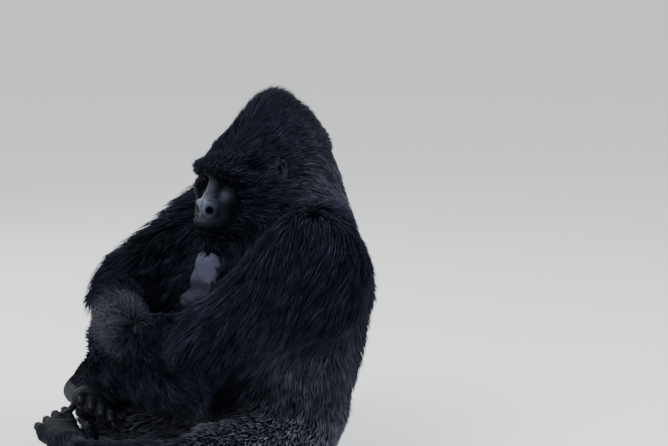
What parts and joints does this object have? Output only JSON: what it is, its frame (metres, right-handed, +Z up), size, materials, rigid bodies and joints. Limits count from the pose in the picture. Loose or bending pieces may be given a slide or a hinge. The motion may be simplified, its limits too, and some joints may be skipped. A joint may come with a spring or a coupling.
{
  "type": "gorilla",
  "caption": "Life-size still model of an adult male mountain gorilla, seated cross-legged on the floor with its forearms folded over its belly and its head turned a little to its left.",
  "frame": {"origin": "on the floor, below the middle of the object's bounding box", "axes": "-Y is where the trunk faces, +X is the animal's left, +Z is up"},
  "size_m": [0.831, 0.8574, 0.9478],
  "materials": {
    "dark_coat": "near-black hair with a cool sheen",
    "silver_coat": "short silver-grey saddle hair",
    "skin": "bare charcoal skin, wrinkled, faintly shiny",
    "eye": "wet dark brown eye",
    "nail": "dark horn nails"
  },
  "bodies": {
    "root": {"eye_left": "eye", "eye_right": "eye", "rump": "silver_coat", "belly": "silver_coat", "chest": "dark_coat", "neck": "dark_coat", "thigh_left": "silver_coat", "thigh_right": "silver_coat", "upper_arm_left": "dark_coat", "upper_arm_right": "dark_coat", "forearm_left": "dark_coat", "forearm_right": "dark_coat", "shank_left": "dark_coat", "shank_right": "dark_coat", "foot_left": "skin", "foot_right": "skin", "hand_right": "skin", "hand_left": "skin", "head": "dark_coat", "ear_left": "skin", "ear_right": "skin"}
  },
  "joints": []
}
